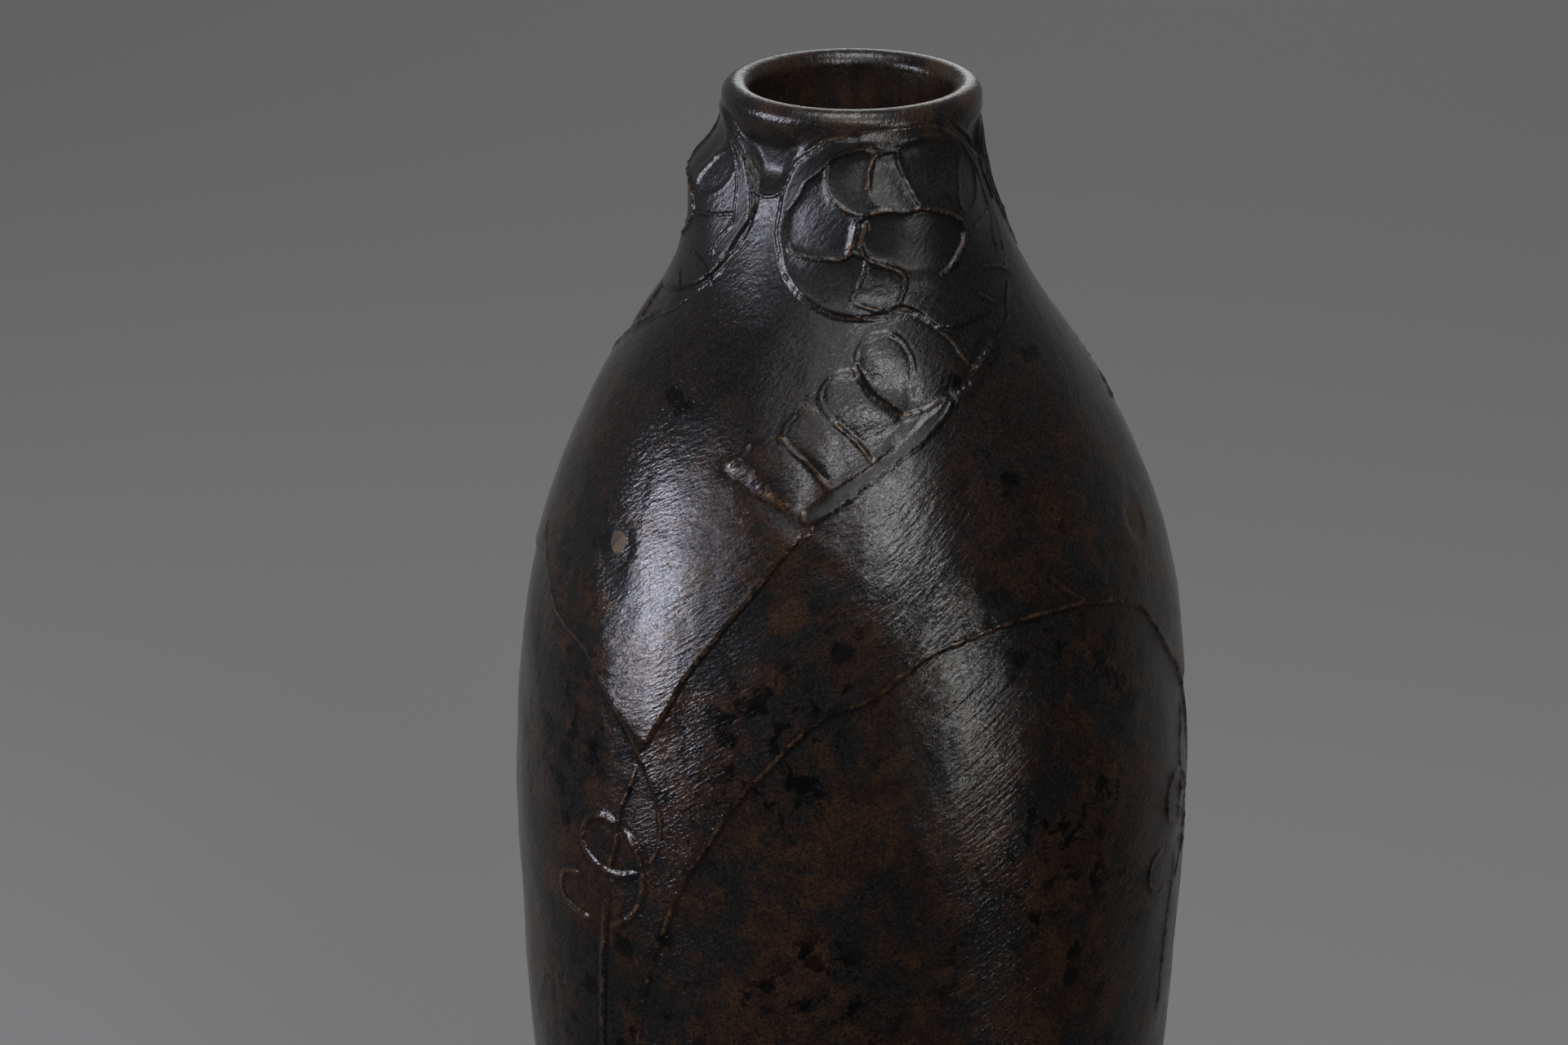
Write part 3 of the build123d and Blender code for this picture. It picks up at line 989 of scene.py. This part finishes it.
# Colours of the patina
COLD_BLACK = (0.0125, 0.0118, 0.0124, 1.0)
# Lighter grey of the upper body: partly the patina's own tone, partly painted sheen on the shoulder
COLD_GREY_AND_SHEEN = (0.0145, 0.0136, 0.0141, 1.0)
# Near-black of the soot spots, also used for the painted shade in grooves
SOOT_AND_SHADE = (0.0028, 0.0028, 0.0033, 1.0)
UMBER = (0.0235, 0.0135, 0.0092, 1.0)
RUST = (0.0470, 0.0235, 0.0125, 1.0)
OCHRE = (0.0800, 0.0470, 0.0210, 1.0)
WORN_EDGE = (0.1250, 0.0700, 0.0360, 1.0)
OLIVE = (0.0120, 0.0122, 0.0100, 1.0)
GRAIN = (0.0480, 0.0400, 0.0350, 1.0)
INSIDE_BROWN = (0.052, 0.026, 0.0135, 1.0)
INSIDE_DARK = (0.022, 0.0135, 0.0090, 1.0)

# Heights where a zone begins and where it is full
GREY_AND_SHEEN_ZONE = (150.0 * MM, 195.0 * MM)
BROWN_ZONE = (165.0 * MM, 232.0 * MM)
MATTE_ZONE = (210.0 * MM, 226.0 * MM)

# Patterns: noise scale, detail, roughness and distortion, then the levels where a
# patch begins and where it is full. Some are drawn out along the axis by a stretch.
WARM_CLOUDS = (60.0, 10.0, 0.80, 0.2, 0.44, 0.54)
WARM_STREAKS = (520.0, 5.0, 0.7, 0.0, 0.46, 0.60)
CRUST_AREAS = (38.0, 3.0, 0.5, 0.0, 0.48, 0.56)
INSIDE_STREAKS = (600.0, 4.0, 0.6, 0.0, 0.38, 0.62)
STROKE_AREAS = (30.0, 2.0, 0.5, 0.0, 0.36, 0.56)
WARM_STRETCH = (1.0, 1.0, 0.10)
MARK_STRETCH = (1.0, 1.0, 0.15)
LEATHER_STRETCH = (1.0, 1.0, 0.80)
STROKE_STRETCH = (1.0, 1.0, 0.13)

# Noise without levels
DOT_EDGE = (420.0, 4.0, 0.7)
SPECKS = (2600.0, 3.0, 0.7)
UNEVEN_SHINE = (300.0, 6.0, 0.7)
LEATHER = (1100.0, 3.0, 0.58)
STROKES = (900.0, 1.6, 0.5, 0.3)

# Layers of colour, from below: (where, pattern, amount, colour)
LAYERS = [
    ("warm", (170.0, 9.0, 0.82, 0.0, 0.46, 0.57), 1.0, RUST),
    ("warm", (700.0, 4.0, 0.7, 0.0, 0.62, 0.70), 0.7, OCHRE),
    ("all", (1500.0, 5.0, 0.75, 0.0, 0.42, 0.64), 0.26, GRAIN),
    ("all", (1900.0, 5.0, 0.8, 0.0, 0.50, 0.58), 0.55, SOOT_AND_SHADE),
    ("crusted", (230.0, 7.0, 0.74, 0.3, 0.525, 0.565), 0.96, SOOT_AND_SHADE),
    ("dots", (70.0, 1.0, 0.5, 0.0, 0.52, 0.55), 0.8, SOOT_AND_SHADE),
    ("olive", None, 0.8, OLIVE),
    ("rubbed", (420.0, 4.0, 0.7, 0.0, 0.44, 0.62), 1.0, WORN_EDGE),
    ("lip", (130.0, 5.0, 0.65, 0.0, 0.38, 0.60), 0.28, WORN_EDGE),
    # Painted shade: near-black laid into the grooves beside ridges and the dips at the feet of steps.
    ("painted_shade", None, 0.7, SOOT_AND_SHADE),
]
CRUST_LOST_ABOVE = 0.75
DOT_SCALE = 110.0
DOT_RAGGEDNESS = 0.5
DOT_LEVELS = (0.18, 0.25)
RUBBED_WEAR = (0.2, 0.9)
SPECK_LEVELS = (0.50, 0.64)
SPECK_SOOT = 0.85

# Roughness: the least, its range, and what each share adds
ROUGH_LEAST = 0.05
ROUGH_RANGE = 0.14
ROUGHER_BY = {"warm": 0.05, "inside": 0.25, "matte": 0.42, "wear": -0.12, "specks": 0.20}
ROUGH_SPECK_LEVELS = (0.58, 0.66)
HEAD_MATTE = 0.36
LIP_POLISH = 0.4

# Bump
LEATHER_DEPTH = 0.13 * MM
STROKE_DEPTH = 0.13 * MM
SPECK_DEPTH = 0.04 * MM
STROKES_EVERYWHERE = 0.35
STROKES_WHERE_BRUSHED = 0.75
LEATHER_LOST_BRUSHED = 0.5
OLIVE_SMOOTHNESS = 0.45


def patina_material():
    """Dark blue-black patina with rust clouds, soot spots and brown worn ridges, with painted shade in
    the grooves and a painted sheen lightening the upper body.
    """
    s = Shader("bronze_patina")
    place = s.place()
    high = s.node("SeparateXYZ", Vector=place).outputs["Z"]
    sweep = s.attribute("sweep", "Vector")
    at = {name: s.attribute(name) for name in MARKS}
    warm = s.times(s.patches(place, WARM_CLOUDS), s.ramp(high, *BROWN_ZONE, flip=True))
    streaked = s.patches(s.stretched(sweep, WARM_STRETCH), WARM_STREAKS)
    at["warm"] = s.times(warm, s.without(at["brushed"], s.math("SUBTRACT", 1.0, streaked)))
    at["all"] = 1.0
    upper = s.ramp(high, *GREY_AND_SHEEN_ZONE)
    at["crusted"] = s.times(s.patches(place, CRUST_AREAS), s.without(upper, CRUST_LOST_ABOVE))
    ragged = s.noise(place, *DOT_EDGE)
    ragged = s.math("MULTIPLY_ADD", ragged, DOT_RAGGEDNESS, -DOT_RAGGEDNESS / 2)
    at["dots"] = s.ramp(s.math("ADD", s.spots(place, DOT_SCALE), ragged), *DOT_LEVELS, flip=True)
    at["rubbed"] = s.ramp(at["wear"], *RUBBED_WEAR)
    # Higher up the cold black turns to a lighter grey. This is partly the patina's own tone and partly
    # painted sheen on the shoulder.
    colour = s.mix(at["warm"], s.mix(upper, COLD_BLACK, COLD_GREY_AND_SHEEN), UMBER)
    for where, pattern, amount, other in LAYERS:
        share = s.times(s.patches(place, pattern), at[where]) if pattern else at[where]
        colour = s.over(colour, share, amount, other)
    streaks = s.patches(s.stretched(place, MARK_STRETCH), INSIDE_STREAKS)
    colour = s.mix(at["inside"], colour, s.mix(streaks, INSIDE_DARK, INSIDE_BROWN))
    specks = s.noise(place, *SPECKS)
    colour = s.mix(s.ramp(specks, *SPECK_LEVELS), colour, s.mix(SPECK_SOOT, colour, SOOT_AND_SHADE))

    matte = s.times(s.ramp(high, *MATTE_ZONE), HEAD_MATTE)
    matte = s.math("MAXIMUM", at["olive"], matte)
    at["matte"] = s.times(matte, s.without(at["lip"], LIP_POLISH))
    at["specks"] = s.ramp(specks, *ROUGH_SPECK_LEVELS)
    rough = s.math("MULTIPLY_ADD", s.noise(place, *UNEVEN_SHINE), ROUGH_RANGE, ROUGH_LEAST)
    for where, amount in ROUGHER_BY.items():
        rough = s.math("ADD", rough, s.times(at[where], amount))

    leather = s.noise(s.stretched(sweep, LEATHER_STRETCH), *LEATHER)
    strokes = s.noise(s.stretched(sweep, STROKE_STRETCH), *STROKES)
    stroke_area = s.times(s.patches(place, STROKE_AREAS), STROKES_EVERYWHERE)
    stroke_area = s.math("ADD", stroke_area, s.times(at["brushed"], STROKES_WHERE_BRUSHED))
    rugged = s.without(at["olive"], OLIVE_SMOOTHNESS)
    leathery = s.times(rugged, s.without(at["brushed"], LEATHER_LOST_BRUSHED))
    normal = s.bump(s.times(leather, leathery), LEATHER_DEPTH)
    normal = s.bump(s.times(strokes, s.times(stroke_area, rugged)), STROKE_DEPTH, normal)
    normal = s.bump(s.times(specks, rugged), SPECK_DEPTH, normal)
    return s.finish(Base_Color=colour, Roughness=rough, Normal=normal, Metallic=0.1)


# The small pieces: patterns as above, and (low, high) for how rough their marks are
PLUG_CLOUDS = (240.0, 5.0, 0.6, 0.0, 0.42, 0.60)
PLUG_SOOT = (1300.0, 3.0, 0.7, 0.0, 0.4, 0.7)
PLUG_SCRATCHES = (1500.0, 3.0, 0.6)
PLUG_ROUGHNESS = (-0.4, 1.6)
PLUG_DEPTH = 0.08 * MM
PLATE_BROWN = (0.16, 0.10, 0.055, 1.0)
PLATE_STAIN = (0.065, 0.043, 0.030, 1.0)
PLATE_BRIGHT = (0.26, 0.17, 0.09, 1.0)
PLATE_STAINS = (60.0, 6.0, 0.6, 0.0, 0.40, 0.62)
PLATE_STRETCH = (0.06, 1.0, 1.0)
PLATE_MARKS = (900.0, 3.0, 0.6)
PLATE_ROUGHNESS = (-0.9, 1.5)
PLATE_DEPTH = 0.1 * MM
SOLDER_DARK = (0.20, 0.20, 0.195, 1.0)
SOLDER_PALE = (0.34, 0.34, 0.33, 1.0)
SOLDER_LUMPS = (300.0, 4.0, 0.6)
SOLDER_ROUGHNESS = (-0.6, 1.4)
SOLDER_DEPTH = 0.3 * MM


def marked(s, colour, marks, roughness, depth, **rest):
    """The material of a small piece whose marks are rough and raised."""
    rough = s.ramp(marks, *roughness)
    return s.finish(Base_Color=colour, Roughness=rough, Normal=s.bump(marks, depth), **rest)


def plug_material():
    s = Shader("plug_bronze")
    place = s.place()
    colour = s.mix(s.patches(place, PLUG_CLOUDS), RUST, OCHRE)
    colour = s.over(colour, s.patches(place, PLUG_SOOT), 0.5, SOOT_AND_SHADE)
    scratches = s.noise(s.stretched(place, MARK_STRETCH), *PLUG_SCRATCHES)
    return marked(
        s, colour, scratches, PLUG_ROUGHNESS, PLUG_DEPTH, Metallic=0.35, Coat_Weight=0.2,
        Coat_Roughness=0.2,
    )


def base_plate_material():
    s = Shader("base_plate_bronze")
    place = s.place()
    colour = s.mix(s.patches(place, PLATE_STAINS), PLATE_BROWN, PLATE_STAIN)
    marks = s.noise(s.stretched(place, PLATE_STRETCH), *PLATE_MARKS)
    colour = s.over(colour, s.ramp(marks, 0.5, 0.8), 0.5, PLATE_BRIGHT)
    return marked(s, colour, marks, PLATE_ROUGHNESS, PLATE_DEPTH, Metallic=0.7)


def solder_material():
    s = Shader("soft_solder")
    lumps = s.noise(s.place(), *SOLDER_LUMPS)
    colour = s.mix(s.ramp(lumps, 0.4, 0.6), SOLDER_DARK, SOLDER_PALE)
    return marked(s, colour, lumps, SOLDER_ROUGHNESS, SOLDER_DEPTH, Metallic=0.8)


def give(node, material):
    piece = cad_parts[node]
    piece.data.materials.clear()
    piece.data.materials.append(material)


# Stage, light and camera

# Floor greys for a painted pool of light: the paler one by the vase, the darker one further out
FLOOR_POOL_GREY = (0.290, 0.287, 0.283, 1.0)
FLOOR_FALLOFF_GREY = (0.250, 0.248, 0.245, 1.0)
FLOOR_NEAR = 0.30
FLOOR_FAR = 1.10
FLOOR_HALF_WIDTH = 8.0
FLOOR_SPECKS = (300.0, 3.0, 0.6, 0.0, 0.3, 0.7)
FLOOR_SPECK_AMOUNT = 0.04
BACKDROP_GREY = (0.162, 0.162, 0.162, 1.0)
ROOM_DARK = (0.012, 0.012, 0.013, 1.0)
BACKDROP_FROM = 0.05
BACKDROP_FULL = 0.90
LAMP_AIM_HEIGHT = 160.0 * MM
# (name, azimuth, elevation, distance, width, height, power, colour), in degrees and
# metres. The back and behind ones are there so that the vase shows from its far side.
LAMPS = [
    ("softbox_left", -75.0, 6.5, 1.1, 0.17, 0.33, 6.6, (0.84, 0.86, 1.0)),
    ("softbox_left_upper", -59.0, 18.5, 1.1, 0.15, 0.14, 1.0, (0.84, 0.86, 1.0)),
    ("softbox_right", 37.0, -0.5, 1.5, 0.18, 0.13, 2.6, (1.0, 0.99, 0.96)),
    ("softbox_front", 12.0, 30.5, 1.5, 0.26, 0.18, 2.5, (0.95, 0.965, 1.0)),
    ("softbox_leaf", 18.0, 30.0, 1.5, 0.28, 0.16, 1.5, (0.95, 0.965, 1.0)),
    ("softbox_high", 0.0, 48.0, 1.5, 1.5, 0.75, 4.1, (0.95, 0.96, 1.0)),
    ("softbox_back", 178.0, 28.0, 2.0, 0.7, 0.9, 2.0, (1.0, 1.0, 1.0)),
    ("softbox_behind", 174.0, 11.0, 1.6, 0.45, 0.50, 1.1, (0.95, 0.97, 1.0)),
    ("softbox_top", -20.0, 80.0, 1.3, 0.6, 0.6, 7.0, (1.0, 1.0, 1.0)),
]


def make_floor():
    """A grey floor with a painted pool of light, paler near the vase and darker further out, left out of
    reflections like a dark studio.
    """
    half = FLOOR_HALF_WIDTH
    mesh = bpy.data.meshes.new("floor")
    corners = [(-half, -half, 0), (half, -half, 0), (half, half, 0), (-half, half, 0)]
    mesh.from_pydata(corners, [], [(0, 1, 2, 3)])
    floor = linked("floor", mesh)
    s = Shader("floor_grey")
    place = s.place()
    outwards = s.node("VectorMath", {"operation": "LENGTH"}, Vector=place).outputs["Value"]
    # Painted light: the colour fades from the paler pool by the vase to darker further out.
    colour = s.mix(s.ramp(outwards, FLOOR_NEAR, FLOOR_FAR), FLOOR_POOL_GREY, FLOOR_FALLOFF_GREY)
    colour = s.over(colour, s.patches(place, FLOOR_SPECKS), FLOOR_SPECK_AMOUNT, FLOOR_FALLOFF_GREY)
    floor.data.materials.append(s.finish(Base_Color=colour, Roughness=0.9))
    floor.visible_glossy = False


def softbox(name, azimuth, elevation, distance, width, height, power, colour):
    """A rectangular lamp that looks at the belly."""
    turn = math.radians(azimuth)
    rise = math.radians(elevation)
    target = Vector((0.0, 0.0, LAMP_AIM_HEIGHT))
    offset = Vector((
        math.sin(turn) * math.cos(rise), -math.cos(turn) * math.cos(rise), math.sin(rise)
    )) * distance
    lamp = bpy.data.lights.new(name, "AREA")
    lamp.shape = "RECTANGLE"
    lamp.size = width
    lamp.size_y = height
    lamp.energy = power
    lamp.color = colour
    made = linked(name, lamp)
    made.location = target + offset
    made.rotation_euler = offset.to_track_quat("Z", "Y").to_euler()
    made.visible_camera = False


def make_light():
    for lamp in LAMPS:
        softbox(*lamp)
    make_room()


def make_room():
    """A grey backdrop behind the vase and a dark room on the camera's side."""
    world = bpy.data.worlds.new("studio")
    bpy.context.scene.world = world
    world.use_nodes = True
    tree = world.node_tree
    kinds = ("TexCoord", "SeparateXYZ", "MapRange", "LightPath", "Math", "Mix")
    place, split, share, seen, pick, mixed = [tree.nodes.new("ShaderNode" + kind) for kind in kinds]
    share.inputs["From Min"].default_value = BACKDROP_FROM
    share.inputs["From Max"].default_value = BACKDROP_FULL
    pick.operation = "MAXIMUM"
    mixed.data_type = "RGBA"
    mixed.inputs[6].default_value = ROOM_DARK
    mixed.inputs[7].default_value = BACKDROP_GREY
    for output, target in (
        (place.outputs["Generated"], split.inputs["Vector"]),
        (split.outputs["Y"], share.inputs["Value"]),
        (share.outputs["Result"], pick.inputs[0]),
        (seen.outputs["Is Camera Ray"], pick.inputs[1]),
        (pick.outputs["Value"], mixed.inputs[0]),
        (mixed.outputs[2], tree.nodes["Background"].inputs["Color"]),
    ):
        tree.links.new(output, target)


def make_camera():
    data = bpy.data.cameras.new("camera")
    data.sensor_fit = "HORIZONTAL"
    data.sensor_width = SENSOR_WIDTH
    data.lens = LENS
    data.clip_start = CLIP_NEAR
    data.clip_end = CLIP_FAR
    camera = linked("camera", data)
    turn = Matrix((RIGHTWARD, UPWARD, -FORWARD)).transposed()
    camera.matrix_world = Matrix.Translation(Vector(CAMERA_PLACE * MM)) @ turn.to_4x4()
    bpy.context.scene.camera = camera


make_camera()
make_floor()
make_light()

body = build_body(sculpted_relief())
body.data.materials.append(patina_material())
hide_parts("vessel_body")
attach(body, "root")

plug_bronze = plug_material()
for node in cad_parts:
    if node.startswith("core_plug"):
        give(node, plug_bronze)
give("base_plate", base_plate_material())
give("base_solder_seam", solder_material())

bpy.context.scene.view_settings.view_transform = "Standard"
